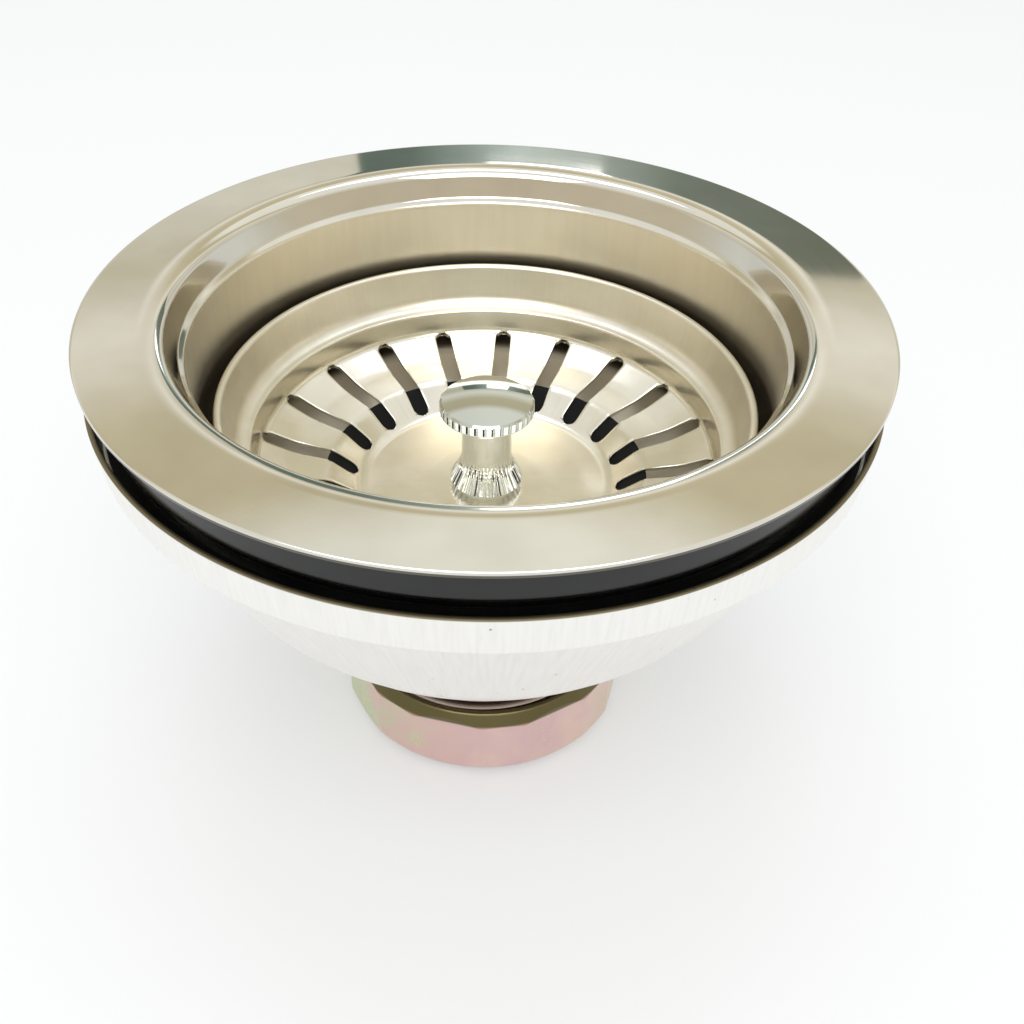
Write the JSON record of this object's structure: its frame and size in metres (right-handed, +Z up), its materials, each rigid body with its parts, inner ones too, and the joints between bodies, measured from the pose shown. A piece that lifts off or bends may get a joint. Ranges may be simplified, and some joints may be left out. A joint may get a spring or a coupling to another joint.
{
  "type": "basket strainer waste",
  "caption": "Kitchen sink basket strainer waste: polished flanged bowl with a lift-out slotted basket and knob, rubber gasket, clamp cup, and a threaded tail with its lock nut.",
  "frame": {"origin": "centre of the tail's end face, on the surface that the waste stands on", "axes": "+Z up along the outlet's axis, towards the flange; -Y is the side that the picture shows nearest"},
  "size_m": [0.114, 0.114, 0.0754],
  "materials": {
    "polished_stainless": "mirror-polished flange with fine circular lines, satin inner wall",
    "satin_stainless": "satin pressed stainless steel",
    "tail_steel": "cut steel thread, lightly oiled",
    "black_rubber": "smooth moulded rubber with a soft sheen",
    "pressed_aluminium": "pale pressed aluminium with upright tool marks on the band",
    "yellow_zinc_steel": "yellow iridescent zinc passivate, rose and green by turns",
    "stem_brass": "turned brass",
    "knob_chrome": "bright chrome plate"
  },
  "bodies": {
    "fixed_waste": {"strainer_bowl": "polished_stainless", "threaded_tail": "tail_steel", "outlet_crossbar": "satin_stainless", "sink_gasket": "black_rubber", "clamp_cup": "pressed_aluminium"},
    "lift_out_basket": {"basket": "satin_stainless", "basket_seal": "black_rubber", "seal_washer": "satin_stainless", "basket_stem": "stem_brass", "stem_clip": "tail_steel", "lift_knob": "knob_chrome"},
    "turning_nut": {"lock_nut": "yellow_zinc_steel"}
  },
  "joints": [
    {"name": "basket_lift", "type": "slide", "parent": "fixed_waste", "child": "lift_out_basket", "axis": [0, 0, 1], "range_m": [0, 0.052]},
    {"name": "nut_turn", "type": "hinge", "parent": "fixed_waste", "child": "turning_nut", "pos_m": [0, 0, 0.007], "axis": [0, 0, 1], "continuous": true}
  ]
}
